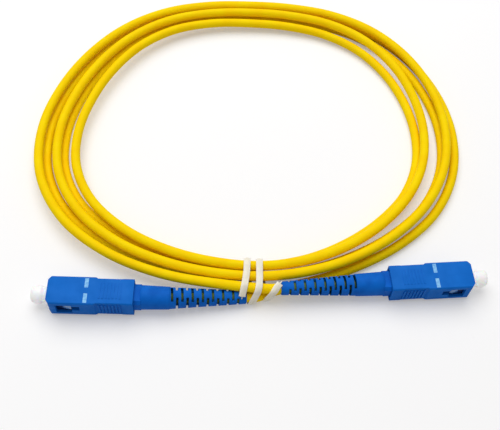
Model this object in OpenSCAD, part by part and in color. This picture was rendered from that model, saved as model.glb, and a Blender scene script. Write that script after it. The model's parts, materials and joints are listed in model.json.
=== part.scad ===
// Fibre optic patch cord: a coiled single-mode cord with a square push-pull plug on each end.
// Millimetres. The X axis runs along the two plugs, Y points into the loop, Z is up.
// The origin lies on the table, under the middle of the box that the two plugs fill.

/* [Cord] */
// Outside diameter of the jacket
jacket_d = 3.0; // [2.8:0.1:3.2]
// Wall of the jacket
jacket_wall = 0.45; // [0.3:0.05:0.45]
// Thickness of the layer of aramid yarn
yarn_wall = 0.4; // [0.25:0.05:0.4]
// Diameter of the tight buffer over the fibre
buffer_d = 0.9; // [0.8:0.05:0.9]
// Diameter of the coated fibre
fibre_d = 0.25; // [0.2:0.01:0.25]

/* [Loop] */
// Mean radius of the outermost turn
loop_r = 65.2; // [65.2:0.2:70]
// Step from one turn to the next at the left and right of the loop
side_pitch = 5.8; // [5.8:0.1:6.4]
// Gap between turns where the tie holds them
tie_gap = 0.45; // [0.45:0.05:0.6]
// Gap between turns at the far side of the loop
top_gap = 0.7; // [0.6:0.1:1.2]
// Gap between the lower and the upper layer of turns
layer_gap = 0.5; // [0.5:0.05:0.8]

/* [Plug housing] */
// Length of the sliding outer housing
housing_l = 25; // [24:0.5:27]
// Width of the housing over its wide front half
housing_w = 8.95; // [8.8:0.05:9.4]
// Height of the housing without its key
housing_h = 7.35; // [7.2:0.05:7.8]
// How far the rear half is set in on each side
waist = 0.45; // [0.2:0.05:0.5]
// Where the wide front half begins, from the rear face
step_u = 11.3; // [10.8:0.1:12]
// Width of the key under the housing
key_w = 2; // [1.5:0.1:3]
// Height of the key
key_h = 0.75; // [0.5:0.05:1]
// Length of the key
key_l = 9.3; // [7:0.1:10]
// Length of the side window
window_l = 4.6; // [4.4:0.1:4.8]
// Height of the side window
window_h = 4.6; // [3.6:0.1:4.8]
// Height that the grip ribs stand on the sides
rib_h = 0.35; // [0.2:0.05:0.4]
// How far the housing slides back to let the plug go
pull_travel = 1.6; // [1:0.1:1.7]

/* [Plug frame] */
// Width of the plug frame inside the housing
frame_w = 7; // [6.8:0.05:7.05]
// Height of the plug frame
frame_h = 5.6; // [5.5:0.05:5.65]
// Diameter of the ferrule
ferrule_d = 2.499; // [2.4:0.001:2.6]
// Length of the ferrule
ferrule_l = 10.5; // [10.3:0.1:11]
// How far the ferrule stands out of the housing
ferrule_out = 1.2; // [0.9:0.1:1.5]
// How far the ferrule gives way against its spring
ferrule_travel = 1; // [0.6:0.1:1.1]
// Outside diameter of the spring
spring_d = 4.2; // [4.1:0.05:4.4]
// Diameter of the spring wire
spring_wire = 0.45; // [0.3:0.05:0.5]
// Turns of the spring
spring_turns = 6; // [4:1:6]

/* [Boot] */
// Length of the boot behind the housing
boot_l = 33; // [31:0.5:36]
// Diameter of the smooth part at its front
boot_d = 7.2; // [6.8:0.1:7.3]
// Length of the smooth part with its collar
smooth_l = 10.4; // [10:0.1:11.5]
// Diameter where the slots begin
slot_d = 6.4; // [6.1:0.1:6.6]
// Diameter at the tip
tip_d = 4; // [4:0.1:4.8]
// Width of each flexing slot
slot_w = 0.75; // [0.5:0.05:0.9]
// Distance from one ring of slots to the next
slot_pitch = 1.5; // [1.4:0.05:1.55]
// Rings of slots
slot_rings = 14; // [6:1:14]

/* [Dust cap] */
// Diameter of the cap's head
cap_d = 5.3; // [5.2:0.1:5.4]
// Length of the cap in front of the housing
cap_out = 4.8; // [4:0.1:7]

/* [Tie] */
// Width of the tie's plastic ribbon
ribbon_w = 2; // [1.5:0.1:2.2]
// Thickness of the ribbon
ribbon_t = 0.6; // [0.5:0.05:0.6]
// Diameter of the wire in the ribbon
wire_d = 0.36; // [0.25:0.01:0.38]

/* [Hidden] */
$fn = 48;

BLUE = "#236ecb";
YELLOW = "#ffd60a";
eps = 0.1;                      // how far a cut runs past a face

// Clearances
fit = 0.02;                     // between parts bonded or pressed together, on the diameter
slide_gap = 0.06;               // between the ferrule and the bore of its cap, on the diameter
loose_gap = 0.2;                // between parts that only pass each other, on the diameter
bore_gap = 0.15;                // between the frame and the bore of the housing, on the diameter

// Where each plug lies: rear face of the housing, height of the axis, and the angle it is turned by
rear_x = 38;
rear_y_a = -2.4;
rear_y_b = 1.15;
toe = 2.6;
axis_z = key_h + housing_h / 2;
PLUG_A = [-rear_x, rear_y_a, 180 - toe];
PLUG_B = [rear_x, rear_y_b, toe];
// How each boot flexes behind its smooth part: lift and turn, in degrees
FLEX_A = [-4.5, 4.7];
FLEX_B = [3, 0.9];

// Housing
housing_edge = 0.35;            // chamfer along the edges
corner_u = 1;                   // front corner chamfer along the plug
corner_v = 1.3;                 // front corner chamfer across it
step_ramp = 0.6;
rim_l = 3.2;                    // flared rim at the rear
rim_out = 0.15;
rib_n = 7;
rib_pitch = 1;
rib_w = 0.5;
rib_u = 3.8;                    // middle of the first rib
side_rib_h = 5.4;               // height of a rib on the side
top_rib_l = 5;                  // length of a rib on the top and bottom
top_rib_h = 0.12;
key_front = 3;                  // from the key's front end to the housing's front
key_u = housing_l - key_front - key_l;
window_back = 7.2;              // from the window's rear end to the housing's front
window_u = housing_l - window_back;
window_gap = 0.2;               // between the frame's lug and the rear end of the window
tail_l = 2.3;                   // narrow tail of the window
tail_h = 2.3;
tail_z = 0.4;
mark_gap = 1.9;                 // from the step to the marks
mark_u = step_u + mark_gap;
mark_l = 1.1;
mark_v = 0.95;                  // inner end of a mark
mark_w = 3;
mark_depth = 0.15;

// Frame, ferrule and what seats them
frame_u = 5;                    // rear face of the frame
frame_front = housing_l - 0.8;
frame_edge = 0.5;
front_bore = 5.1;               // space round the ferrule for the adapter's sleeve
rear_bore = 5.2;
shoulder_t = 1;                 // wall that the flange rests on
flange_t = 1.8;
flange_d = rear_bore - 0.2;
key_slot = 0.8;                 // slots in the flange that keep it from turning
key_slot_r = spring_d / 2 + 0.1; // outside the spring
ferrule_tip = housing_l + ferrule_out;
ferrule_end = ferrule_tip - ferrule_l;
flange_front = ferrule_end + 1.7;
flange_rear = flange_front - flange_t;
flange_tail = 3.6;              // sleeve behind the flange, for the guide tube
tail_end = flange_rear - flange_tail;
ferrule_bore = 0.16;
bare_d = 0.125;                 // glass without its coating
guide_d = 1.4;
guide_bore = 1;
guide_front = tail_end + 1.3;
guide_rear = -1;
bow_room = ferrule_travel + 0.2; // space in which the fibre bows as the ferrule gives way
lug_l = 2.6;
lug_h = 2;
lug_out = 0.45;

// Stop ring and crimp ring
stop_front = 9.5;               // face that the spring pushes on
stop_d = rear_bore - 0.1;
stop_bore = guide_d + 0.3;
collar_rear = 3.6;              // rear of the stop ring's square collar
neck_front = 1;
neck_rear = -2.5;
neck_d = 3.9;
yarn_fold = 0.15;               // yarn folded back over the neck
crimp_front = 0.5;
crimp_step = -3.5;              // where the crimp ring narrows on to the jacket
jacket_end = -4.5;              // where the jacket is cut back
crimp_rear = -7;
crimp_wall = 0.3;
crimp_bore = neck_d + 2 * yarn_fold;
crimp_d = crimp_bore + 2 * crimp_wall;
crimp_tail_bore = jacket_d + 0.1;
crimp_tail_d = crimp_tail_bore + 2 * crimp_wall + 0.2;

// Boot
collar_front = 0.8;
collar_end = pull_travel + 0.3; // room for the housing to slide back
collar_w = frame_w - 0.3;
collar_h = frame_h - 0.2;
slot_floor = 1.15;              // half width of the webs left between two slots
slot_half = 2.2;                // half length of a slot across the top
slot_start = 0.15;
boot_bore = jacket_d + 0.2;
knee_bore = boot_bore + 0.15;   // wider ahead of the bend, so that the flexed bore starts inside it
boot_edge = 0.4;                // chamfer in front of the smooth part
knee_step = 0.3;                // how much the smooth part is wider than the slotted part behind it, on the diameter
knee_edge = 0.1;
tip_edge = 0.25;

// Cap
cap_skirt = flange_front + shoulder_t + 0.1;
cap_neck_d = 4.6;
cap_tip_r = 1.1;

// Loop: five turns, spiralling in on the lower layer and out on the upper one
turns = 5;
steps = 24;                     // rings on each turn
loop_centre = [0, 60];
// Waves that make the loop oval: how many round the loop, cosine part, sine part
WAVES = [[1, -1.8, -0.7], [2, 5.8, 0.9], [3, -0.2, -0.3], [4, -0.3, 0.5], [5, 0, -0.6]];
// Free play of each turn, inwards, on the right and on the left
PLAY_R = [-0.45, -1.9, 0.85, 1.45, -0.1];
PLAY_L = [-0.5, -0.7, 0.8, 0.55, 0.4];
// How far each turn settles into the gaps of the lower layer, on the right and on the left
SAG_R = [0, 0, 0, 0.65, 0.1];
SAG_L = [0, 0, 0.6, 0.3, 0.45];
tie_lift = 0.8;                 // the tie lies under the turns and lifts them
first_ring = 2;                 // the leads take over outside these rings
last_ring = 118;

tie_pitch = jacket_d + tie_gap;
top_pitch = jacket_d + top_gap;
layer_h = jacket_d + layer_gap;

function unit(v) = v / norm(v);
function ease(a, b, x) = let (k = min(1, max(0, (x - a) / (b - a)))) k * k * (3 - 2 * k);
function sum(v, i = 0) = i < len(v) ? v[i] + sum(v, i + 1) : 0;
function radius(th) = loop_r + sum([for (w = WAVES) w[1] * cos(w[0] * th) + w[2] * sin(w[0] * th)]);
function outline(f) = let (th = 360 * f - 90) loop_centre + radius(th) * [cos(th), sin(th)];
function inward(f) = let (d = unit(outline(f + 0.001) - outline(f - 0.001))) [-d[1], d[0]];
function half(f, right, left, k) = f < 0.5 ? right[k] : left[k];
function step_at(f) = let (s = pow(sin(360 * f), 2), c = cos(360 * f))
    side_pitch * s + (tie_pitch * (1 + c) / 2 + top_pitch * (1 - c) / 2) * (1 - s);
// Share of the climb to the upper layer that is done after t turns
function climbed(t) = ease(turns / 2 - 0.25, turns / 2 + 0.25, t);
function turn_offset(t) = let (f = t % 1, k = floor(min(t, turns - 0.001)))
    step_at(f) * min(t, turns - t)
    + tie_pitch / 2 * (1 - ease(0.08, 0.2, f) + ease(0.8, 0.92, f)) * (1 - climbed(t))
    + half(f, PLAY_R, PLAY_L, k) * pow(sin(360 * f), 2);
function turn_height(t) = let (f = t % 1, k = floor(min(t, turns - 0.001)))
    jacket_d / 2 + tie_lift * (1 - ease(0.02, 0.1, min(f, 1 - f)))
    + (layer_h - half(f, SAG_R, SAG_L, k) * pow(sin(360 * f), 8)) * climbed(t);
function on_loop(t) = let (q = outline(t % 1) + inward(t % 1) * turn_offset(t)) [q[0], q[1], turn_height(t)];

// A point of a plug, from its own axes: u forwards, v across, w up
function in_plug(plug, p) = [
    plug[0] + p[0] * cos(plug[2]) - p[1] * sin(plug[2]),
    plug[1] + p[0] * sin(plug[2]) + p[1] * cos(plug[2]),
    axis_z + p[2]];
// A point on the axis of the flexed part of the boot, s behind the smooth part
function in_boot(plug, flex, s) = in_plug(plug, [-smooth_l - s * cos(flex[0]) * cos(flex[1]),
    -s * cos(flex[0]) * sin(flex[1]), s * sin(flex[0])]);

// Route of the cord: through plug and boot A, freely to the loop, round it, and freely to plug B
flex_l = boot_l - smooth_l;
function inside(plug, flex, u) = concat([in_plug(plug, [u, 0, 0])],
    u > jacket_end ? [in_plug(plug, [jacket_end, 0, 0])] : [],
    [for (s = [0, 1/3, 2/3, 1]) in_boot(plug, flex, s * flex_l)],
    [in_boot(plug, flex, flex_l + jacket_d)]);
FREE_A = [[1.5, -0.5, 2.3], [5, 0.7, 1.8], [9, 2, 1.5], [13.5, 3.1, 1.5], [18, 4.3, 1.5], [22.5, 5.7, 1.5]];
FREE_B = [[-24.5, 3.2, 5.4], [-20, 2.2, 5.6], [-15, 1.3, 5.7], [-10, 0.5, 5.8], [-5, -0.2, 5.8], [-1.5, -0.6, 5.8]];
COIL = [for (k = [first_ring:last_ring]) on_loop(k / steps)];
coil_in = unit(on_loop((first_ring + 0.5) / steps) - on_loop((first_ring - 0.5) / steps));
coil_out = unit(on_loop((last_ring + 0.5) / steps) - on_loop((last_ring - 0.5) / steps));
WOUND = concat([COIL[0] - coil_in * jacket_d], COIL, [COIL[len(COIL) - 1] + coil_out * jacket_d]);
function reversed(v) = [for (i = [len(v) - 1:-1:0]) v[i]];
function route(u) = concat(inside(PLUG_A, FLEX_A, u), FREE_A, WOUND, FREE_B, reversed(inside(PLUG_B, FLEX_B, u)));

// Least gap between two turns of the loop, on its rings and halfway between them
HALVES = [for (i = [0:len(WOUND) - 2], h = [0, 0.5]) WOUND[i] * (1 - h) + WOUND[i + 1] * h];
least = min([for (i = [0:len(HALVES) - 1], j = [i + steps:1:len(HALVES) - 1]) norm(HALVES[i] - HALVES[j])]);
echo(least_gap_of_loop = least - jacket_d);
function run(v) = sum([for (i = [1:len(v) - 1]) norm(v[i] - v[i - 1])]);
echo(jacket_length = run(route(jacket_end)), cord_length = run(route(ferrule_tip)));

// Spring and tie
spring_r = (spring_d - spring_wire) / 2;
spring_seat = spring_wire / 2 + 0.01;
spring_run = flange_rear - stop_front - 2 * spring_seat;
spring_steps = 8;
echo(least_gap_of_spring = spring_run / spring_turns - spring_wire);

// Middle of the ribbon: over boot A's tip, twice round the bundle, and up beside boot B's tip
TIE_POINTS = [[-6.4, -3.1, 5.4], [-6.25, -2.5, 6.15], [-6, -1.75, 6.95], [-5.7, -0.5, 7.75], [-5.3, 1.6, 7.7],
    [-4.9, 4.2, 7.7], [-4.7, 6.9, 7.7], [-4.6, 8.7, 6.95], [-4.5, 9.6, 5], [-4.4, 10.6, 3], [-4.3, 10.5, 1.2],
    [-4.2, 9, 0.38], [-4.1, 5, 0.45], [-4, 1.5, 0.45], [-3.9, -1.2, 0.45], [-3.7, -3.4, 1], [-3.4, -3.85, 2.5],
    [-2.9, -3.5, 3.9], [-2.3, -2.9, 5.4], [-1.8, -2.35, 6.85], [-1.4, -0.9, 7.8], [-1.2, 1.5, 7.75],
    [-1.1, 4.2, 7.75], [-1, 6.9, 7.7], [-0.9, 8.4, 6.9], [-0.8, 9.4, 5], [-0.7, 10.3, 3], [-0.5, 10.2, 1.25],
    [-0.3, 8.8, 0.4], [0, 5, 0.45], [0.2, 1.5, 0.45], [0.5, -0.9, 0.4], [0.7, -2.4, 1.05], [1, -2.9, 2.4],
    [1.5, -2.9, 3.9], [2.2, -2.8, 5.3], [3, -2.4, 6.8], [3.9, -1.2, 7.6], [4.8, -0.2, 7.95]];
// Every point of a path with a smooth one halfway to the next
function smoothed(p) = [for (i = [0:len(p) - 1]) each [p[i], if (i < len(p) - 1)
    (9 * (p[i] + p[i + 1]) - p[max(i - 1, 0)] - p[min(i + 2, len(p) - 1)]) / 16]];
TIE = smoothed(TIE_POINTS);
TIE_OUT = [for (d = ahead(TIE)) cross([1, 0, 0], d)];
wire_out = 0.8;                 // how far the wire stands out of the ribbon
function longer(v, d) = concat([v[0] + unit(v[0] - v[1]) * d], v,
    [v[len(v) - 1] + unit(v[len(v) - 1] - v[len(v) - 2]) * d]);
function ends_twice(v) = concat([v[0]], v, [v[len(v) - 1]]);

// Directions along a path, square to its own end runs
function ahead(p) = [for (i = [0:len(p) - 1]) unit(p[min(i + 1, len(p) - 1)] - p[max(i - 1, 0)])];
// A ring of corners across direction t, from the side s
function ring(c, t, s, corners) = let (a = unit(s - (s * t) * t), b = cross(a, t)) [for (q = corners) c + q[0] * a + q[1] * b];
function sides(r, n) = [for (j = [0:n - 1]) r * [cos(360 * j / n), sin(360 * j / n)]];
function box_corners(w, t) = [[w / 2, t / 2], [-w / 2, t / 2], [-w / 2, -t / 2], [w / 2, -t / 2]];
function rings(p, corners) = let (d = ahead(p)) [for (i = [0:len(p) - 1]) ring(p[i], d[i], cross(d[i], [0, 0, 1]), corners)];
function rings_facing(p, out, corners) = let (d = ahead(p))
    [for (i = [0:len(p) - 1]) ring(p[i], d[i], cross(d[i], out[i]), corners)];

// A closed skin over rings of corners, with a bore where inner rings are given
module skin(outer, inner = []) {
    n = len(outer[0]);
    m = len(outer);
    function id(l, i, j) = (l * m + i) * n + j % n;
    walls = [for (i = [0:m - 2], j = [0:n - 1]) each [
        [id(0, i, j), id(0, i, j + 1), id(0, i + 1, j + 1)], [id(0, i, j), id(0, i + 1, j + 1), id(0, i + 1, j)]]];
    bore = [for (i = [0:m - 2], j = [0:n - 1]) each [
        [id(1, i, j), id(1, i + 1, j + 1), id(1, i, j + 1)], [id(1, i, j), id(1, i + 1, j), id(1, i + 1, j + 1)]]];
    rims = [for (j = [0:n - 1]) each [
        [id(0, 0, j + 1), id(0, 0, j), id(1, 0, j)], [id(0, 0, j + 1), id(1, 0, j), id(1, 0, j + 1)],
        [id(0, m - 1, j), id(0, m - 1, j + 1), id(1, m - 1, j + 1)],
        [id(0, m - 1, j), id(1, m - 1, j + 1), id(1, m - 1, j)]]];
    caps = [for (j = [1:n - 2]) each [[id(0, 0, 0), id(0, 0, j + 1), id(0, 0, j)],
        [id(0, m - 1, 0), id(0, m - 1, j), id(0, m - 1, j + 1)]]];
    points = [for (r = concat(outer, inner)) each r];
    polyhedron(points, len(inner) > 0 ? concat(walls, bore, rims) : concat(walls, caps));
}
function part_of(v, a, b) = [for (i = [a:b]) v[i]];

// Round bar along a plug's axis
module bar(u0, u1, d, d2 = 0) {
    translate([u0, 0, 0]) rotate([0, 90, 0]) cylinder(h = u1 - u0, d1 = d, d2 = d2 > 0 ? d2 : d);
}
// Rectangular bar along a plug's axis, with its edges cut off
module square_bar(u0, u1, w, h, edge) {
    translate([u0, 0, 0]) rotate([90, 0, 90]) linear_extrude(u1 - u0) polygon([
        [w / 2 - edge, h / 2], [edge - w / 2, h / 2], [-w / 2, h / 2 - edge], [-w / 2, edge - h / 2],
        [edge - w / 2, -h / 2], [w / 2 - edge, -h / 2], [w / 2, edge - h / 2], [w / 2, h / 2 - edge]]);
}
module block(u, v, w, size) translate([u, v, w]) cube(size);
module both_sides() {
    children();
    mirror([0, 1, 0]) children();
}
module top_and_bottom() {
    children();
    mirror([0, 0, 1]) children();
}
module at_plug(plug) translate([plug[0], plug[1], axis_z]) rotate([0, 0, plug[2]]) children();

// Outer housing: the sliding grip, narrower behind, with ribs, windows and a key underneath
module housing_plan() {
    front = housing_w / 2;
    rear = front - waist;
    one_side = [[0, rear + rim_out], [rim_l, rear + rim_out], [rim_l + 0.4, rear], [step_u - step_ramp, rear],
        [step_u, front], [housing_l - corner_u, front], [housing_l, front - corner_v]];
    polygon(concat(one_side, [for (p = reversed(one_side)) [p[0], -p[1]]]));
}
module grip_ribs() {
    rear = housing_w / 2 - waist;
    for (i = [0:rib_n - 1]) {
        u = rib_u + i * rib_pitch - rib_w / 2;
        both_sides() block(u, rear - 0.2, -side_rib_h / 2, [rib_w, rib_h + 0.2, side_rib_h]);
        top_and_bottom() block(u, -top_rib_l / 2, housing_h / 2 - 0.2, [rib_w, top_rib_l, top_rib_h + 0.2]);
    }
}
module windows() {
    both_sides() {
        block(window_u, frame_w / 2 - 0.5, -window_h / 2, [window_l, housing_w, window_h]);
        block(window_u - tail_l, frame_w / 2 - 0.5, tail_z - tail_h / 2, [tail_l + eps, housing_w, tail_h]);
    }
}
module marks(depth, up = 0) {
    both_sides() block(mark_u, mark_v, housing_h / 2 - mark_depth, [mark_l, mark_w, depth + up]);
}
module outer_housing() color(BLUE) difference() {
    union() {
        intersection() {
            translate([0, 0, -housing_h / 2]) linear_extrude(housing_h) housing_plan();
            union() {
                square_bar(0, step_u - step_ramp, housing_w - 2 * waist + 2 * rim_out, housing_h, housing_edge);
                square_bar(step_u - step_ramp, housing_l, housing_w, housing_h, housing_edge);
            }
        }
        grip_ribs();
        block(key_u, -key_w / 2, -housing_h / 2 - key_h, [key_l, key_w, key_h + 0.2]);
    }
    square_bar(-eps, housing_l + eps, frame_w + bore_gap, frame_h + bore_gap, frame_edge);
    windows();
    marks(mark_depth, eps);
}
module index_marks() color("aliceblue") marks(mark_depth - fit);

// Plug frame: carries the ferrule, stopped in the housing's windows by a lug on each side
module frame_lug() {
    u = window_u + window_gap;
    half_w = frame_w / 2;
    translate([0, 0, -lug_h / 2]) linear_extrude(lug_h) polygon([[u, half_w - 0.3], [u, half_w + lug_out],
        [u + lug_l / 2, half_w + lug_out], [u + lug_l, half_w + 0.05], [u + lug_l, half_w - 0.3]]);
}
module plug_frame() color(BLUE) {
    difference() {
        union() {
            square_bar(frame_u, frame_front, frame_w, frame_h, frame_edge);
            both_sides() frame_lug();
        }
        bar(flange_front + shoulder_t, frame_front + eps, front_bore);
        bar(flange_front - eps, flange_front + shoulder_t + eps, ferrule_d + loose_gap);
        difference() {
            bar(frame_u - eps, flange_front, rear_bore);
            top_and_bottom() block(flange_rear - ferrule_travel, -key_slot / 2 + 0.1, key_slot_r + 0.1,
                [flange_front, key_slot - 0.2, rear_bore]);
        }
    }
}
module ferrule() color("white") difference() {
    union() {
        bar(ferrule_end, ferrule_tip - 0.4, ferrule_d);
        bar(ferrule_tip - 0.4, ferrule_tip, ferrule_d, ferrule_d - 0.5);
    }
    bar(ferrule_end - eps, ferrule_tip + eps, ferrule_bore);
}
module ferrule_flange() color("silver") difference() {
    union() {
        bar(flange_rear, flange_front, flange_d);
        bar(tail_end, flange_rear + eps, spring_d - 2 * spring_wire - loose_gap);
    }
    bar(ferrule_end, flange_front + eps, ferrule_d + fit);
    bar(tail_end - eps, ferrule_end + eps, guide_d + fit);
    top_and_bottom() block(flange_rear - eps, -key_slot / 2, key_slot_r, [flange_t + 2 * eps, key_slot, flange_d]);
}
function spring_angle(i) = 360 * i / spring_steps;
SPRING = [for (i = [0:spring_turns * spring_steps])
    [stop_front + spring_seat + spring_run * i / spring_steps / spring_turns,
        spring_r * cos(spring_angle(i)), spring_r * sin(spring_angle(i))]];
SPRING_OUT = [for (p = SPRING) [0, p[1], p[2]]];
module spring() color("silver") skin(rings_facing(SPRING, SPRING_OUT, sides(spring_wire / 2, 6)));
module guide_tube() color("white") difference() {
    bar(guide_rear, guide_front, guide_d);
    bar(guide_rear - eps, guide_front + eps, guide_bore);
}
module bare_fibre() color("lightcyan") bar(guide_front + 0.1, ferrule_tip, bare_d);

// Stop ring: closes the frame and holds the spring, with a neck for the crimp
module stop_ring() color("silver") difference() {
    union() {
        bar(frame_u - eps, stop_front, stop_d);
        square_bar(collar_rear, frame_u, frame_w - 0.4, frame_h - 0.3, frame_edge);
        bar(neck_front, collar_rear + eps, crimp_d + 0.1);
        bar(neck_rear, neck_front + eps, neck_d);
    }
    bar(neck_rear - eps, stop_front + eps, stop_bore);
}
module crimp_ring() color("silver") rotate([90, 0, 90]) rotate_extrude() polygon([
    [crimp_bore / 2, crimp_front], [crimp_bore / 2, crimp_step], [crimp_tail_bore / 2, jacket_end],
    [crimp_tail_bore / 2, crimp_rear], [crimp_tail_d / 2, crimp_rear], [crimp_tail_d / 2, jacket_end],
    [crimp_d / 2, crimp_step], [crimp_d / 2, crimp_front]]);

// Boot: collar inside the housing, smooth part, and a tapered part with slots on crossed sides
module flexed(flex) translate([-smooth_l, 0, 0]) rotate([0, flex[0], flex[1]]) children();
module slots() {
    for (i = [0:slot_rings - 1]) {
        u = -slot_start - i * slot_pitch;
        rotate([i % 2 * 90, 0, 0]) top_and_bottom()
            block(u - slot_w, i % 2 == 0 ? -slot_half : -slot_d, slot_floor,
                [slot_w, i % 2 == 0 ? 2 * slot_half : 2 * slot_d, slot_d]);
    }
}
function taper_d(s) = slot_d + (tip_d - slot_d) * s / flex_l;
module boot(flex) color(BLUE) difference() {
    union() {
        square_bar(-collar_end - boot_edge / 2, collar_front, collar_w, collar_h, 0.9);
        bar(-collar_end - boot_edge, -collar_end, boot_d, boot_d - boot_edge);
        bar(knee_edge - smooth_l, -collar_end - boot_edge, slot_d + knee_step, boot_d);
        bar(-smooth_l, knee_edge - smooth_l, slot_d + knee_step - 2 * knee_edge, slot_d + knee_step);
        flexed(flex) {
            bar(tip_edge - flex_l, boot_edge, taper_d(flex_l - tip_edge), taper_d(-boot_edge));
            bar(-flex_l, tip_edge - flex_l, tip_d - 2 * tip_edge, taper_d(flex_l - tip_edge));
        }
    }
    bar(jacket_end - 0.1, collar_front + eps, crimp_d + 0.1);
    bar(crimp_rear - 0.1, jacket_end, crimp_tail_d + 0.1);
    bar(-smooth_l - 0.3, crimp_rear, knee_bore);
    flexed(flex) {
        bar(-flex_l - eps, 0.1, boot_bore);
        slots();
    }
}

// Dust cap: a soft clear plug over the ferrule, seated on the front of the frame
module dust_cap() color("whitesmoke", 0.6) difference() {
    union() {
        bar(cap_skirt, frame_front + eps, front_bore - loose_gap);
        bar(frame_front, housing_l + 0.5, cap_d);
        bar(housing_l + 0.4, housing_l + 1.1, cap_neck_d);
        rotate([90, 0, 90]) rotate_extrude() head_profile();
    }
    bar(cap_skirt - eps, ferrule_tip + 0.2, ferrule_d + slide_gap);
}
module head_profile() {
    u0 = housing_l + 1;
    u1 = housing_l + cap_out;
    r = cap_d / 2;
    polygon(concat([[0, u0], [r - 0.2, u0], [r, u0 + 0.2]],
        [for (a = [0:15:90]) [r - cap_tip_r + cap_tip_r * cos(a), u1 - cap_tip_r + cap_tip_r * sin(a)]], [[0, u1]]));
}

// Cord
n_in = len(inside(PLUG_A, FLEX_A, jacket_end));
jacket_route = route(jacket_end);
coil_from = n_in + len(FREE_A);
coil_to = coil_from + len(WOUND) - 1;
jacket_bore = jacket_d - 2 * jacket_wall;
yarn_gap = 0.09;                // keeps the six-sided yarn clear of the eight-sided bore
yarn_d = jacket_bore - 2 * yarn_gap;
yarn_bore = yarn_d - 2 * yarn_wall;
buffer_bore = fibre_d + 0.09;

// Rings of the jacket between two points of its route, cut square where it meets the next piece
function jacket_rings(a, b, r, n) = rings(part_of(jacket_route, a, b), sides(r, n));
module jacket(a, b, n) color(YELLOW) skin(met(a, b, jacket_d / 2, n), met(a, b, jacket_bore / 2, n));
function met(a, b, r, n) = let (v = jacket_rings(a, b, r, n), m = b - a) [for (i = [0:m])
    i == 0 && a == coil_to ? square_end(coil_to, coil_out, r, n)
    : i == m && b == coil_from ? square_end(coil_from, coil_in, r, n) : v[i]];
function square_end(i, dir, r, n) = ring(jacket_route[i], dir, cross(dir, [0, 0, 1]), sides(r, n));

module yarn_flare() rotate([90, 0, 90]) rotate_extrude() polygon([
    [yarn_bore / 2, jacket_end + 0.05], [yarn_d / 2, jacket_end + 0.05], [crimp_bore / 2 - 0.03, neck_rear - 0.1],
    [crimp_bore / 2 - 0.03, crimp_front - 0.2], [neck_d / 2 + 0.03, crimp_front - 0.2],
    [neck_d / 2 + 0.03, neck_rear - 0.1], [yarn_d / 2, neck_rear - 0.6]]);
module aramid_yarn() color("khaki") {
    skin(rings(route(jacket_end), sides(yarn_d / 2, 6)), rings(route(jacket_end), sides(yarn_bore / 2, 6)));
    at_plug(PLUG_A) yarn_flare();
    at_plug(PLUG_B) yarn_flare();
}
buffer_end = guide_front - bow_room - 0.3;
module tight_buffer() color("ivory")
    skin(rings(route(buffer_end), sides(buffer_d / 2, 4)), rings(route(buffer_end), sides(buffer_bore / 2, 4)));
module optical_fibre() color("lightcyan") skin(rings(route(buffer_end + 0.3), sides(fibre_d / 2, 4)));

// Tie: a flat plastic ribbon with a wire in it, wound twice round turns and boot
module twist_tie() color("ivory") skin(rings_facing(TIE, TIE_OUT, box_corners(ribbon_w, ribbon_t)),
    rings_facing(TIE, TIE_OUT, box_corners(wire_d + fit, wire_d + fit)));
module tie_wire() color("silver")
    skin(rings_facing(longer(TIE, wire_out), ends_twice(TIE_OUT), box_corners(wire_d, wire_d)));

at_plug(PLUG_A) dust_cap();  // dust_cap_a
at_plug(PLUG_A) outer_housing();  // outer_housing_a
at_plug(PLUG_A) index_marks();  // index_marks_a
at_plug(PLUG_A) plug_frame();  // plug_frame_a
at_plug(PLUG_A) ferrule();  // ferrule_a
at_plug(PLUG_A) ferrule_flange();  // ferrule_flange_a
at_plug(PLUG_A) spring();  // spring_a
at_plug(PLUG_A) guide_tube();  // guide_tube_a
at_plug(PLUG_A) bare_fibre();  // bare_fibre_a
at_plug(PLUG_A) stop_ring();  // stop_ring_a
at_plug(PLUG_A) crimp_ring();  // crimp_ring_a
at_plug(PLUG_A) boot(FLEX_A);  // boot_a
at_plug(PLUG_B) dust_cap();  // dust_cap_b
at_plug(PLUG_B) outer_housing();  // outer_housing_b
at_plug(PLUG_B) index_marks();  // index_marks_b
at_plug(PLUG_B) plug_frame();  // plug_frame_b
at_plug(PLUG_B) ferrule();  // ferrule_b
at_plug(PLUG_B) ferrule_flange();  // ferrule_flange_b
at_plug(PLUG_B) spring();  // spring_b
at_plug(PLUG_B) guide_tube();  // guide_tube_b
at_plug(PLUG_B) bare_fibre();  // bare_fibre_b
at_plug(PLUG_B) stop_ring();  // stop_ring_b
at_plug(PLUG_B) crimp_ring();  // crimp_ring_b
at_plug(PLUG_B) boot(FLEX_B);  // boot_b
jacket(coil_from, coil_to, 6);  // jacket_coil
jacket(0, coil_from, 8);  // jacket_lead_a
jacket(coil_to, len(jacket_route) - 1, 8);  // jacket_lead_b
aramid_yarn();
tight_buffer();
optical_fibre();
twist_tie();
tie_wire();
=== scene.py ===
# %% [markdown]
# # A coiled fibre optic patch cord
# This lesson dresses a patch cord: a yellow cord wound in five turns, a blue square plug with a slotted boot
# and a clear dust cap on each end, and a white twist tie round the bundle. The CAD model already gives every
# piece its real size and place, so it is loaded first and nothing in it is moved. What is soft, round or fine
# is then made again in more detail in the same place, and every surface gets a finish of its own.

# %% Load the CAD model
import json
import math

import bmesh
import bpy
from mathutils import Matrix, Vector


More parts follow.
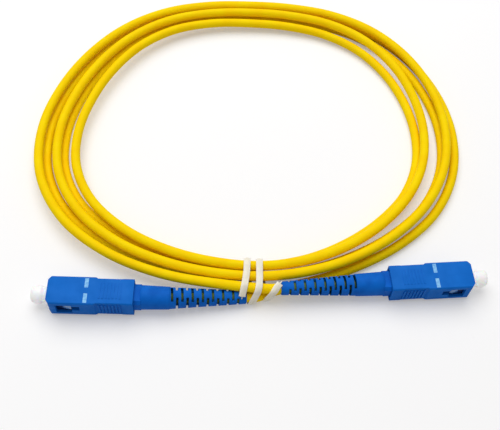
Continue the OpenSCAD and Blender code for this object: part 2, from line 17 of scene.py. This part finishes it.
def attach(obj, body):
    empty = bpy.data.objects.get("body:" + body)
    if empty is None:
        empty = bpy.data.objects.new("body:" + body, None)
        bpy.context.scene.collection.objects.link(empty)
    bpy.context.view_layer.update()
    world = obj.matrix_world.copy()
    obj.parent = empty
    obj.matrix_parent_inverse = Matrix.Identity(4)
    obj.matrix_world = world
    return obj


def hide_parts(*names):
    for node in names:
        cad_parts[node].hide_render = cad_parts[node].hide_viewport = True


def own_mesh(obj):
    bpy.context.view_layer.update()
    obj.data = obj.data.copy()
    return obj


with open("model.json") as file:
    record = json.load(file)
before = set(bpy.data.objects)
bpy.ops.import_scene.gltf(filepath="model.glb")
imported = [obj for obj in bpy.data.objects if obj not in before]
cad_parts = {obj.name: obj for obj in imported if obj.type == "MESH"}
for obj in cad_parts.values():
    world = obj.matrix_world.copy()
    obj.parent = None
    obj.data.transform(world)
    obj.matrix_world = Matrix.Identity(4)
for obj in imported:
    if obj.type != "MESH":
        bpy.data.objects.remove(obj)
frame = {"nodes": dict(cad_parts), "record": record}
nodes = frame["nodes"]
scene = bpy.context.scene
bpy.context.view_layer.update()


def add(name, data):
    """A new object in the scene. The pieces stay at the origin, because their place is in the mesh itself."""
    piece = bpy.data.objects.new(name, data)
    scene.collection.objects.link(piece)
    return piece


def finished_mesh(bm, name):
    mesh = bpy.data.meshes.new(name)
    bm.to_mesh(mesh)
    bm.free()
    return mesh


# %% [markdown]
# ## Camera
# The cord lies flat on a table and is seen from in front and well above, a little turned. A camera is easiest
# to place by its position, the direction in which it looks and its roll, because each of these can be put
# right without touching the others. The lens is a little longer than a normal one, on a sensor 36 mm wide.

# %% Camera
view_from = Vector((-0.01647, -0.10192, 0.21671))
look_at = Vector((-0.0028, 0.02812, 0))
roll = math.radians(4.757)
turned = math.radians(6)

forward = (look_at - view_from).normalized()
level = Vector((math.cos(turned), -math.sin(turned), 0))
upright = level.cross(forward).normalized()
right = level * math.cos(roll) + upright * math.sin(roll)
up = upright * math.cos(roll) - level * math.sin(roll)

camera_data = bpy.data.cameras.new("camera")
camera_data.sensor_width = 36
camera_data.lens = 56.8
camera_data.clip_start = 0.01
camera = add("camera", camera_data)
camera.matrix_world = Matrix((
    (right.x, up.x, -forward.x, view_from.x),
    (right.y, up.y, -forward.y, view_from.y),
    (right.z, up.z, -forward.z, view_from.z),
    (0, 0, 0, 1),
))
scene.camera = camera
scene.view_settings.view_transform = "Standard"
print("Camera stands", round((look_at - view_from).length, 3), "m away")

# %% [markdown]
# ## The route of the cord
# The cord leaves one boot, runs round the loop five times and enters the other boot. A real one is coiled by
# hand: it spirals in on the table, climbs on to itself halfway and spirals out again on top, and no two turns
# lie quite alike. The route is therefore a formula with a little play for each turn, in metres, on the same
# numbers as the CAD model, so that the smooth cord lies exactly where its solid lies.

# %% Shape of the loop
jacket_d = 0.003
loop_r, layer_h, tie_lift = 0.0652, 0.0035, 0.0008
side_pitch, tie_pitch, top_pitch = 0.0058, 0.00345, 0.0037  # from turn to turn, at three places of the loop
loop_centre = Vector((0, 0.06, 0))
waves = [(1, -0.0018, -0.0007), (2, 0.0058, 0.0009), (3, -0.0002, -0.0003),
         (4, -0.0003, 0.0005), (5, 0, -0.0006)]
play_right = (-0.00045, -0.0019, 0.00085, 0.00145, -0.0001)
play_left = (-0.0005, -0.0007, 0.0008, 0.00055, 0.0004)
sag_right, sag_left = (0, 0, 0, 0.00065, 0.0001), (0, 0, 0.0006, 0.0003, 0.00045)
turns, steps = 5, 24
first_step, last_step = 2, 118  # the two leads go on from here


def ease(a, b, x):
    """Goes softly from nought at a to one at b."""
    k = min(1, max(0, (x - a) / (b - a)))
    return k * k * (3 - 2 * k)


def outline(f):
    """The outermost turn, an oval with waves in it, f of the way round."""
    angle = 2 * math.pi * f - math.pi / 2
    r = loop_r + sum(c * math.cos(n * angle) + s * math.sin(n * angle) for n, c, s in waves)
    return loop_centre + r * Vector((math.cos(angle), math.sin(angle), 0))


def inward(f):
    along = (outline(f + 0.001) - outline(f - 0.001)).normalized()
    return Vector((-along.y, along.x, 0))


def on_loop(t):
    """The middle of the cord after t turns."""
    f, k = t % 1, math.floor(min(t, turns - 0.001))
    s, c = math.sin(2 * math.pi * f), math.cos(2 * math.pi * f)
    play = (play_right if f < 0.5 else play_left)[k] * s * s
    sag = (sag_right if f < 0.5 else sag_left)[k] * s ** 8
    climbed = ease(turns / 2 - 0.25, turns / 2 + 0.25, t)
    step = side_pitch * s * s + (tie_pitch * (1 + c) / 2 + top_pitch * (1 - c) / 2) * (1 - s * s)
    offset = step * min(t, turns - t) + play
    offset += tie_pitch / 2 * (1 - ease(0.08, 0.2, f) + ease(0.8, 0.92, f)) * (1 - climbed)
    height = jacket_d / 2 + tie_lift * (1 - ease(0.02, 0.1, min(f, 1 - f))) + (layer_h - sag) * climbed
    return outline(f) + inward(f) * offset + Vector((0, 0, height))


coil = [on_loop(k / steps) for k in range(first_step, last_step + 1)]
print("Loop:", turns, "turns,", len(coil), "points")

# %% [markdown]
# ## Where the cord meets its plugs
# Each plug has its own axes: u forwards out of the plug, v across and w up. One matrix per plug turns those
# into the place on the table, and everything on a plug is made in its own axes and then put there. The boots
# flex, so behind its smooth front third each boot runs off at a small angle, and the cord inside follows it.

# %% Plugs, boots and the whole route
axis_z = 0.004425
toe = math.radians(2.6)
plug_at = {
    "a": Matrix.Translation((-0.038, -0.0024, axis_z)) @ Matrix.Rotation(math.pi - toe, 4, "Z"),
    "b": Matrix.Translation((0.038, 0.00115, axis_z)) @ Matrix.Rotation(toe, 4, "Z"),
}
flex = {"a": (math.radians(-4.5), math.radians(4.7)), "b": (math.radians(3), math.radians(0.9))}
smooth_l, flex_l = 0.0104, 0.0226  # a boot's stiff part and the flexing part behind it
jacket_end, buffer_end, fibre_end = -0.0045, 0.0141, 0.0144
free_a = [(0.0015, -0.0005, 0.0023), (0.005, 0.0007, 0.0018), (0.009, 0.002, 0.0015),
          (0.0135, 0.0031, 0.0015), (0.018, 0.0043, 0.0015), (0.0225, 0.0057, 0.0015)]
free_b = [(-0.0245, 0.0032, 0.0054), (-0.02, 0.0022, 0.0056), (-0.015, 0.0013, 0.0057),
          (-0.01, 0.0005, 0.0058), (-0.005, -0.0002, 0.0058), (-0.0015, -0.0006, 0.0058)]


def in_boot(side, s):
    """On the cord in a flexed boot, s behind its bend."""
    lift, turn = flex[side]
    return plug_at[side] @ Vector((-smooth_l - s * math.cos(lift) * math.cos(turn),
                                   -s * math.cos(lift) * math.sin(turn), s * math.sin(lift)))


def inside(side, u):
    """The points of the cord in one plug, from u backwards to just outside the boot."""
    points = [plug_at[side] @ Vector((u, 0, 0))]
    if u > jacket_end:
        points.append(plug_at[side] @ Vector((jacket_end, 0, 0)))
    flexed = [in_boot(side, s * flex_l) for s in (0, 1 / 3, 2 / 3, 1)]
    return points + flexed + [in_boot(side, flex_l + jacket_d)]


def route(u):
    return (inside("a", u) + [Vector(p) for p in free_a] + coil
            + [Vector(p) for p in free_b] + inside("b", u)[::-1])


jacket_route = route(jacket_end)

# %% [markdown]
# ## Finishes
# Almost every finish here is a plastic, and a plastic is never one flat colour: the moulding steel leaves a
# fine grain, the pigment is a little uneven, and handling polishes some places more than others. One helper
# builds that from two noises on Object coordinates, so the grain keeps its real size on every piece. Plain
# values such as gloss and coat are set straight on the shader.

# %% A helper for finishes
def srgb(r, g, b):
    """A colour given as 0 to 255 on the screen, as the linear values that a shader takes."""
    linear = [c / 255 / 12.92 if c <= 10 else ((c / 255 + 0.055) / 1.055) ** 2.4 for c in (r, g, b)]
    return (*linear, 1)


def link(tree, source, target):
    tree.links.new(source, target)


def noise(tree, grain):
    """Noise whose blotches are about grain metres across."""
    place = tree.nodes.new("ShaderNodeTexCoord")
    mapping = tree.nodes.new("ShaderNodeMapping")
    mapping.inputs["Scale"].default_value = [1 / grain] * 3
    texture = tree.nodes.new("ShaderNodeTexNoise")
    texture.inputs["Scale"].default_value = 1
    texture.inputs["Detail"].default_value = 3
    link(tree, place.outputs["Object"], mapping.inputs["Vector"])
    link(tree, mapping.outputs["Vector"], texture.inputs["Vector"])
    return texture.outputs["Fac"]


def spread(tree, fac, low, high, start=0.35, end=0.65):
    """Takes the range from start to end, by default the middle of a noise, to the range from low to high."""
    ranged = tree.nodes.new("ShaderNodeMapRange")
    for name, value in (("From Min", start), ("From Max", end), ("To Min", low), ("To Max", high)):
        ranged.inputs[name].default_value = value
    link(tree, fac, ranged.inputs["Value"])
    return ranged.outputs["Result"]


def finish(name, light, dark, roughness, blotch=0.004, grain=0.00015, bump=0.1, **values):
    """A finish that wanders between two colours and two roughnesses, with a fine grain in its surface."""
    material = bpy.data.materials.new(name)
    material.use_nodes = True
    tree = material.node_tree
    shader = tree.nodes["Principled BSDF"]
    mix = tree.nodes.new("ShaderNodeMix")
    mix.data_type = "RGBA"
    mix.inputs["A"].default_value = dark
    mix.inputs["B"].default_value = light
    wander = noise(tree, blotch)
    link(tree, spread(tree, wander, 0, 1), mix.inputs["Factor"])
    link(tree, mix.outputs["Result"], shader.inputs["Base Color"])
    link(tree, spread(tree, wander, roughness[1], roughness[0]), shader.inputs["Roughness"])
    relief = tree.nodes.new("ShaderNodeBump")
    relief.inputs["Strength"].default_value = bump
    relief.inputs["Distance"].default_value = 0.00005
    link(tree, noise(tree, grain), relief.inputs["Height"])
    link(tree, relief.outputs["Normal"], shader.inputs["Normal"])
    for socket, value in values.items():
        shader.inputs[socket.replace("_", " ")].default_value = value
    return material


# %% The finishes
finishes = {
    "yellow_jacket": finish("jacket PVC", srgb(255, 222, 0), srgb(254, 212, 0), (0.5, 0.6),
                            blotch=0.006, grain=0.0004, bump=0.12, Specular_IOR_Level=0.05),
    "blue_plastic": finish("housing blue", srgb(12, 109, 206), srgb(8, 103, 198), (0.5, 0.6),
                           bump=0.18, Specular_IOR_Level=0.1),
    # The frame is the housing's blue painted much darker: painted shade for the dark inside of the windows.
    "frame_blue_painted_shade": finish("frame blue with painted shade", srgb(5, 30, 84), srgb(4, 24, 70), (0.15, 0.25), bump=0.05),
    # The lugs are a pale blue, which is a painted glint, on a real gloss and coat.
    "lug_blue_painted_glint": finish("glossy lug with painted glint", srgb(120, 165, 220), srgb(100, 150, 210), (0.05, 0.1), bump=0.02,
                       Specular_IOR_Level=1, Coat_Weight=1),
    "boot_rubber": finish("boot blue", srgb(4, 104, 206), srgb(2, 92, 190), (0.55, 0.65),
                          bump=0.15, Specular_IOR_Level=0.1),
    "white_paint": finish("mark paint", srgb(145, 205, 248), srgb(114, 177, 236), (0.5, 0.65),
                          blotch=0.0006, bump=0.3, Specular_IOR_Level=0.2),
    "ceramic": finish("zirconia", srgb(244, 243, 238), srgb(238, 236, 230), (0.08, 0.14), bump=0.02),
    "plated_metal": finish("nickel plate", srgb(205, 203, 198), srgb(188, 186, 182), (0.22, 0.34),
                           grain=0.0001, bump=0.15, Metallic=1),
    # The caps also give off a weak light of their own: a painted glow for the light that passes through them.
    "clear_cap": finish("soft clear plastic", srgb(252, 252, 252), srgb(246, 247, 248), (0.28, 0.38),
                        blotch=0.002, grain=0.0005, bump=0.1, Transmission_Weight=0.25, IOR=1.45,
                        Subsurface_Weight=0.5, Subsurface_Scale=0.003, Emission_Strength=0.12),
    "natural_plastic": finish("natural plastic", srgb(240, 238, 230), srgb(232, 229, 218), (0.35, 0.45)),
    "aramid": finish("aramid yarn", srgb(232, 205, 110), srgb(205, 172, 74), (0.5, 0.65),
                     blotch=0.0005, grain=0.0002, bump=0.4),
    "glass_fibre": finish("glass", srgb(236, 245, 250), srgb(230, 240, 248), (0.03, 0.06), bump=0),
    "tie_plastic": finish("tie plastic", srgb(247, 241, 223), srgb(237, 231, 212), (0.45, 0.55),
                          blotch=0.0015, grain=0.0003, bump=0.2, Specular_IOR_Level=0.3),
}
print("Finishes:", ", ".join(finishes))

# %% Give every CAD node its finish
for part in frame["record"]["subparts"]:
    node = nodes[part["node"]]
    node.data.materials.clear()
    node.data.materials.append(finishes[part["material_slot"]])

# %% [markdown]
# ## Shade in the boots
# The slots in a boot are under a millimetre wide. Hardly any light gets in, so their walls are dark, and the
# yellow of the cord behind them looks a dull olive. Both lie a little under the boot's own surface, which is a
# cone round a straight axis once the boot flexes. In the axes of that cone the depth under the surface is its
# radius less the distance from the axis, and that depth mixes a darker colour into both finishes.

# %% Depth under a boot's surface
def tint(name, colour, where):
    """Mixes another colour into a finish, as much as the function where tells."""
    tree = finishes[name].node_tree
    base = tree.nodes["Principled BSDF"].inputs["Base Color"]
    mix = tree.nodes.new("ShaderNodeMix")
    mix.data_type = "RGBA"
    mix.inputs["B"].default_value = colour
    link(tree, base.links[0].from_socket, mix.inputs["A"])
    link(tree, where(tree), mix.inputs["Factor"])
    link(tree, mix.outputs["Result"], base)


def operate(tree, operation, *inputs):
    """A Math node that takes its inputs from other sockets."""
    maths = tree.nodes.new("ShaderNodeMath")
    maths.operation = operation
    for source, target in zip(inputs, maths.inputs):
        link(tree, source, target)
    return maths.outputs[0]


boot_tip_r, boot_knee_r = 0.002, 0.0032
shade_from, shade_to = 0.0001, 0.0004  # depths at which the shade begins and is full


def in_slots(tree):
    """Nought on a boot's own surface and one well below it, on the walls of its slots and the cord in them."""
    place = tree.nodes.new("ShaderNodeTexCoord")
    shades = []
    for side in "ab":
        tail, knee = in_boot(side, flex_l), in_boot(side, 0)
        axes = tree.nodes.new("ShaderNodeMapping")
        axes.vector_type = "TEXTURE"
        axes.inputs["Location"].default_value = tail
        axes.inputs["Rotation"].default_value = (knee - tail).to_track_quat("X", "Z").to_euler()
        link(tree, place.outputs["Object"], axes.inputs["Vector"])
        split = tree.nodes.new("ShaderNodeSeparateXYZ")
        link(tree, axes.outputs["Vector"], split.inputs[0])
        from_tail = split.outputs["X"]
        sideways = tree.nodes.new("ShaderNodeVectorMath")
        sideways.operation = "MULTIPLY"
        sideways.inputs[1].default_value = (0, 1, 1)
        link(tree, axes.outputs["Vector"], sideways.inputs[0])
        from_axis = tree.nodes.new("ShaderNodeVectorMath")
        from_axis.operation = "LENGTH"
        link(tree, sideways.outputs[0], from_axis.inputs[0])
        surface = spread(tree, from_tail, boot_tip_r, boot_knee_r, start=0, end=flex_l)
        depth = operate(tree, "SUBTRACT", surface, from_axis.outputs["Value"])
        within = operate(tree, "MULTIPLY", spread(tree, from_tail, 0, 1, start=0.0002, end=0.0006),
                         spread(tree, from_tail, 1, 0, start=flex_l, end=flex_l + 0.0002))
        shade = spread(tree, depth, 0, 1, start=shade_from, end=shade_to)
        shades.append(operate(tree, "MULTIPLY", shade, within))
    return operate(tree, "MAXIMUM", *shades)


tint("yellow_jacket", srgb(96, 116, 52), in_slots)
tint("boot_rubber", srgb(4, 62, 96), in_slots)
print("Shaded the slots of 2 boots")

# %% [markdown]
# ## The cord
# A cord could be a mesh that follows its route ring by ring, but a curve with a round bevel does the same and
# stays smooth however it bends. A Bezier curve passes through its points, and its handles lie along the way to
# the neighbours, a third of the distance long, which keeps the curve close to a circle on every turn. The
# Solidify modifier gives the jacket its wall, and the yarn, the buffer and the fibre inside are curves too.

# %% Curves through a route
def handles(points, i):
    """The two handles of point i, along the circle through it and its neighbours."""
    before, after = points[max(i - 1, 0)], points[min(i + 1, len(points) - 1)]
    back, on = (points[i] - before).length, (after - points[i]).length
    if back == 0 or on == 0:
        along = (after - before).normalized()
    else:
        along = ((points[i] - before) * on / back + (after - points[i]) * back / on).normalized()
    return points[i] - along * back / 3, points[i] + along * on / 3


def cord_curve(name, points, radius, rounds, smooth):
    data = bpy.data.curves.new(name, "CURVE")
    data.dimensions = "3D"
    data.bevel_depth = radius
    data.bevel_resolution = rounds
    data.resolution_u = smooth
    line = data.splines.new("BEZIER")
    line.bezier_points.add(len(points) - 1)
    for i, (knot, point) in enumerate(zip(line.bezier_points, points)):
        knot.co = point
        knot.handle_left, knot.handle_right = handles(points, i)
    return add(name, data)


def dress(piece, slot, body="cord", finished=None):
    """Gives a piece its finish, that of its slot unless another is named, and attaches it to the body it moves
    with.
    """
    piece.data.materials.append(finishes[finished or slot])
    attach(piece, body)


# %% Jacket, yarn, buffer and fibre
jacket = cord_curve("jacket", jacket_route, jacket_d / 2, 8, 10)
wall = jacket.modifiers.new("wall", "SOLIDIFY")
wall.thickness = 0.00045
wall.offset = -1
dress(jacket, "yellow_jacket")
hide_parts("jacket_coil", "jacket_lead_a", "jacket_lead_b")

core = []
for name, slot, end, radius in (("yarn_layer", "aramid", jacket_end, 0.00096),
                                ("buffer_layer", "natural_plastic", buffer_end, 0.00045),
                                ("fibre", "glass_fibre", fibre_end, 0.000125)):
    layer = cord_curve(name, route(end), radius, 2, 6)
    layer.data.use_fill_caps = True
    dress(layer, slot)
    core.append(layer)
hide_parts("aramid_yarn")
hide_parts("tight_buffer")
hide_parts("optical_fibre")
print("Cord:", len(jacket_route), "points, wall", wall.thickness, "m")

# %% [markdown]
# ## Moulded edges
# Nothing that comes out of a mould has a knife edge, and it is the thin bright line along a rounded edge that
# makes plastic look real. The CAD solids of the housings, the frames and the boots have sharp edges and loose
# triangles. A copy of each is merged, its flat faces are joined again, and a Bevel modifier rounds every sharp
# edge by about a tenth of a millimetre. Hardened normals keep the flat faces flat.

# %% Rounded copies of the mouldings
def round_edges(piece, width, degrees):
    edges = piece.modifiers.new("edges", "BEVEL")
    edges.width = width
    edges.segments = 2
    edges.limit_method = "ANGLE"
    edges.angle_limit = math.radians(degrees)
    return edges


def rounded(node_name, slot, body, width, finished=None):
    """A copy of a CAD node in flat faces with rounded edges, in place of the node."""
    bm = bmesh.new()
    bm.from_mesh(nodes[node_name].data)
    bmesh.ops.remove_doubles(bm, verts=bm.verts, dist=0.000002)
    bmesh.ops.dissolve_limit(bm, angle_limit=math.radians(1), verts=bm.verts, edges=bm.edges)
    for face in bm.faces:
        face.smooth = True
    piece = add("moulded_" + node_name, finished_mesh(bm, "moulded_" + node_name))
    round_edges(piece, width, 35).harden_normals = True
    dress(piece, slot, body, finished)
    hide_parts(node_name)
    return piece


lug_from = 0.00352  # the latch lugs begin this far from the middle of the frame
for side in "ab":
    rounded("outer_housing_" + side, "blue_plastic", "housing_" + side, 0.00009)
    # The frame takes the darker blue, which is painted shade.
    carrier = rounded("plug_frame_" + side, "blue_plastic", "cord", 0.00015, "frame_blue_painted_shade")
    # The faces of the latch lugs take the pale blue of the painted glint.
    carrier.data.materials.append(finishes["lug_blue_painted_glint"])
    to_plug = plug_at[side].inverted()
    for face in carrier.data.polygons:
        if abs((to_plug @ face.center).y) > lug_from:
            face.material_index = 1
    rounded("boot_" + side, "boot_rubber", "cord", 0.00006)
print("Rounded the edges of 6 mouldings")

# %% [markdown]
# ## Springs
# A coil spring stands between the stop ring and the flange behind each ferrule, and gets shorter when the
# ferrule is pushed back. A copy of each takes the place of its CAD node, with a mesh of its own, and moves with
# the cord.

# %% Copies of the springs
for side in "ab":
    wound = nodes["spring_" + side].data.copy()
    wound.materials.clear()
    spring = add("coil_spring_" + side, wound)
    dress(spring, "plated_metal")
    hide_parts("spring_" + side)
    to_plug = plug_at[side].inverted()
    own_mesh(spring)

# %% [markdown]
# ## Dust caps
# A dust cap is turned in one piece of soft clear plastic: a skirt that slips over the ferrule, a collar that
# stops it on the plug's front, a short neck, and a round head to hold it by. Anything turned is quickest as a
# half profile spun once round its axis. The profile is given as distance along the plug and radius, and it
# runs from the bottom of the bore, over the rim, and round the outside to the middle of the head.

# %% Spin the caps
cap_profile = [(0.0264, 0), (0.0264, 0.00128), (0.01955, 0.00128), (0.0194, 0.0014), (0.0194, 0.00232),
               (0.01955, 0.00245), (0.0242, 0.00245), (0.0242, 0.0026), (0.02427, 0.00265), (0.0254, 0.00265),
               (0.0255, 0.0026), (0.0256, 0.0023), (0.0259, 0.00215), (0.0263, 0.0022), (0.0265, 0.0024),
               (0.0268, 0.0026), (0.0273, 0.00268), (0.0283, 0.00268), (0.0289, 0.0026), (0.0294, 0.00242),
               (0.0298, 0.0021), (0.03, 0.0017), (0.0301, 0.0012), (0.03018, 0.0007), (0.0302, 0)]


def spun(name, profile, place, sides):
    """A solid of revolution about the plug's axis."""
    bm = bmesh.new()
    path = [bm.verts.new((u, r, 0)) for u, r in profile]
    edges = [bm.edges.new(pair) for pair in zip(path, path[1:])]
    bmesh.ops.spin(bm, geom=path + edges, axis=(1, 0, 0), cent=(0, 0, 0), angle=2 * math.pi, steps=sides,
                   use_merge=True)
    bmesh.ops.remove_doubles(bm, verts=bm.verts, dist=0.000001)
    bmesh.ops.recalc_face_normals(bm, faces=bm.faces)
    for face in bm.faces:
        face.smooth = True
    bm.transform(place)
    return add(name, finished_mesh(bm, name))


for side in "ab":
    cap = spun("soft_cap_" + side, cap_profile, plug_at[side], 48)
    round_edges(cap, 0.00008, 40)
    # The caps' finish carries the painted glow.
    dress(cap, "clear_cap", "cap_" + side)
    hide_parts("dust_cap_" + side)
print("Spun 2 caps from", len(cap_profile), "points")

# %% [markdown]
# ## Twist tie
# The tie is a ribbon of soft plastic with a thin wire down its middle, which shows as a low ridge and stands
# out bare at the two cut ends. It is bent by hand, so its path is a list of points: over one boot's tip, twice
# round the bundle, and up beside the other boot. The ribbon's outline is drawn once and swept along that path:
# each step extrudes the ring of edges and carries the new ring on to the next place.

# %% Path of the tie
tie_points = [Vector(p) / 1000 for p in (
    (-6.4, -3.1, 5.4), (-6.25, -2.5, 6.15), (-6, -1.75, 6.95), (-5.7, -0.5, 7.75), (-5.3, 1.6, 7.7),
    (-4.9, 4.2, 7.7), (-4.7, 6.9, 7.7), (-4.6, 8.7, 6.95), (-4.5, 9.6, 5), (-4.4, 10.6, 3), (-4.3, 10.5, 1.2),
    (-4.2, 9, 0.38), (-4.1, 5, 0.45), (-4, 1.5, 0.45), (-3.9, -1.2, 0.45), (-3.7, -3.4, 1), (-3.4, -3.85, 2.5),
    (-2.9, -3.5, 3.9), (-2.3, -2.9, 5.4), (-1.8, -2.35, 6.85), (-1.4, -0.9, 7.8), (-1.2, 1.5, 7.75),
    (-1.1, 4.2, 7.75), (-1, 6.9, 7.7), (-0.9, 8.4, 6.9), (-0.8, 9.4, 5), (-0.7, 10.3, 3), (-0.5, 10.2, 1.25),
    (-0.3, 8.8, 0.4), (0, 5, 0.45), (0.2, 1.5, 0.45), (0.5, -0.9, 0.4), (0.7, -2.4, 1.05), (1, -2.9, 2.4),
    (1.5, -2.9, 3.9), (2.2, -2.8, 5.3), (3, -2.4, 6.8), (3.9, -1.2, 7.6), (4.8, -0.2, 7.95))]


def smoothed(points):
    """The same path with a smooth point halfway between every two."""
    last = len(points) - 1
    halfway = [(9 * (points[i] + points[i + 1]) - points[max(i - 1, 0)] - points[min(i + 2, last)]) / 16
               for i in range(last)]
    return [p for pair in zip(points, halfway) for p in pair] + [points[last]]


tie_path = smoothed(smoothed(tie_points))


def ribbon_place(i):
    """Where the ribbon's outline stands at point i: across the path, outwards, and along it."""
    along = (tie_path[min(i + 1, len(tie_path) - 1)] - tie_path[max(i - 1, 0)]).normalized()
    out = Vector((1, 0, 0)).cross(along).normalized()
    across = along.cross(out)
    return Matrix.Translation(tie_path[i]) @ Matrix((across, out, along)).transposed().to_4x4()


# %% Sweep the ribbon
ribbon_outline = [(1, 0.1), (0.55, 0.13), (0.3, 0.24), (0, 0.29), (-0.3, 0.24), (-0.55, 0.13), (-1, 0.1),
                  (-1, -0.1), (-0.55, -0.13), (-0.3, -0.24), (0, -0.29), (0.3, -0.24), (0.55, -0.13), (1, -0.1)]
bm = bmesh.new()
to_edge = bm.verts.layers.float.new("to_edge")
ring = [bm.verts.new(ribbon_place(0) @ Vector((x / 1000, y / 1000, 0))) for x, y in ribbon_outline]
edges = [bm.edges.new(pair) for pair in zip(ring, ring[1:] + ring[:1])]
for i in range(1, len(tie_path)):
    grown = bmesh.ops.extrude_edge_only(bm, edges=edges)["geom"]
    edges = [part for part in grown if isinstance(part, bmesh.types.BMEdge) and part.is_boundary]
    ring = [part for part in grown if isinstance(part, bmesh.types.BMVert)]
    bmesh.ops.transform(bm, matrix=ribbon_place(i) @ ribbon_place(i - 1).inverted(), verts=ring)
    for vert in ring:
        vert[to_edge] = abs((ribbon_place(i).inverted() @ vert.co).x) * 1000
bmesh.ops.holes_fill(bm, edges=[edge for edge in bm.edges if edge.is_boundary], sides=0)
bmesh.ops.recalc_face_normals(bm, faces=bm.faces)
for face in bm.faces:
    face.smooth = len(face.verts) == 4
ribbon = add("tie_ribbon", finished_mesh(bm, "tie_ribbon"))
print("Ribbon:", len(tie_path), "rings,", len(ribbon.data.polygons), "faces")
dress(ribbon, "tie_plastic")
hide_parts("twist_tie")

# %% Paler edges on the ribbon
def near_edge(tree):
    """Nought in the middle of the ribbon and one along its edges."""
    across = tree.nodes.new("ShaderNodeAttribute")
    across.attribute_name = "to_edge"
    return spread(tree, across.outputs["Fac"], 0, 1, start=0.45, end=0.95)


tint("tie_plastic", srgb(254, 251, 240), near_edge)

# %% Wire in the ribbon
bare_end = 0.0008
wire_path = ([tie_path[0] + (tie_path[0] - tie_path[1]).normalized() * bare_end] + tie_path
             + [tie_path[-1] + (tie_path[-1] - tie_path[-2]).normalized() * bare_end])
wire = cord_curve("ribbon_wire", wire_path, 0.00018, 3, 2)
wire.data.use_fill_caps = True
dress(wire, "plated_metal")
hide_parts("tie_wire")
core += [ribbon, wire]

# %% [markdown]
# ## Stage
# A product like this is shown on a white table in soft light from above and behind, so the tops are bright,
# the sides that face the viewer are in shade, and a faint shadow falls towards the viewer. A large area lamp
# does that, and a pale world fills the rest. The floor is matt and keeps the shadow; a little white added for
# what the camera sees directly lifts it to the white of the backdrop.

# %% World, lamp and floor
world = bpy.data.worlds.new("studio")
scene.world = world
world.use_nodes = True
tree = world.node_tree
tree.nodes.clear()
seen = tree.nodes.new("ShaderNodeLightPath")
shows = operate(tree, "MAXIMUM", seen.outputs["Is Camera Ray"], seen.outputs["Is Glossy Ray"])
shows = operate(tree, "MAXIMUM", shows, seen.outputs["Is Transmission Ray"])
fill = tree.nodes.new("ShaderNodeBackground")
fill.inputs["Color"].default_value = (1, 0.98, 0.96, 1)
fill.inputs["Strength"].default_value = 0.38
backdrop = tree.nodes.new("ShaderNodeBackground")
backdrop.inputs["Strength"].default_value = 1
choose = tree.nodes.new("ShaderNodeMixShader")
output = tree.nodes.new("ShaderNodeOutputWorld")
link(tree, shows, choose.inputs[0])
link(tree, fill.outputs[0], choose.inputs[1])
link(tree, backdrop.outputs[0], choose.inputs[2])
link(tree, choose.outputs[0], output.inputs["Surface"])

lamp_data = bpy.data.lights.new("softbox", "AREA")
lamp_data.shape = "DISK"
lamp_data.size = 0.75
lamp_data.energy = 3.5
lamp = add("softbox", lamp_data)
lamp.location = (-0.08, 0.28, 0.6)
lamp_aim = Vector((0, 0.04, 0))
lamp.rotation_euler = (lamp_aim - lamp.location).to_track_quat("-Z", "Y").to_euler()

bm = bmesh.new()
bmesh.ops.create_grid(bm, x_segments=1, y_segments=1, size=1.5)
floor = add("floor", finished_mesh(bm, "table"))
floor_finish = bpy.data.materials.new("white table")
floor_finish.use_nodes = True
tree = floor_finish.node_tree
shader = tree.nodes["Principled BSDF"]
shader.inputs["Base Color"].default_value = (0.75, 0.75, 0.757, 1)
shader.inputs["Roughness"].default_value = 0.9
shader.inputs["Specular IOR Level"].default_value = 0.1
shader.inputs["Emission Color"].default_value = (1, 1, 1, 1)
seen = tree.nodes.new("ShaderNodeLightPath")
lift = tree.nodes.new("ShaderNodeMath")
lift.operation = "MULTIPLY"
lift.inputs[1].default_value = 0.27
link(tree, seen.outputs["Is Camera Ray"], lift.inputs[0])
link(tree, lift.outputs[0], shader.inputs["Emission Strength"])
floor.data.materials.append(floor_finish)
print("Lamp:", lamp_data.energy, "W, fill:", fill.inputs["Strength"].default_value)
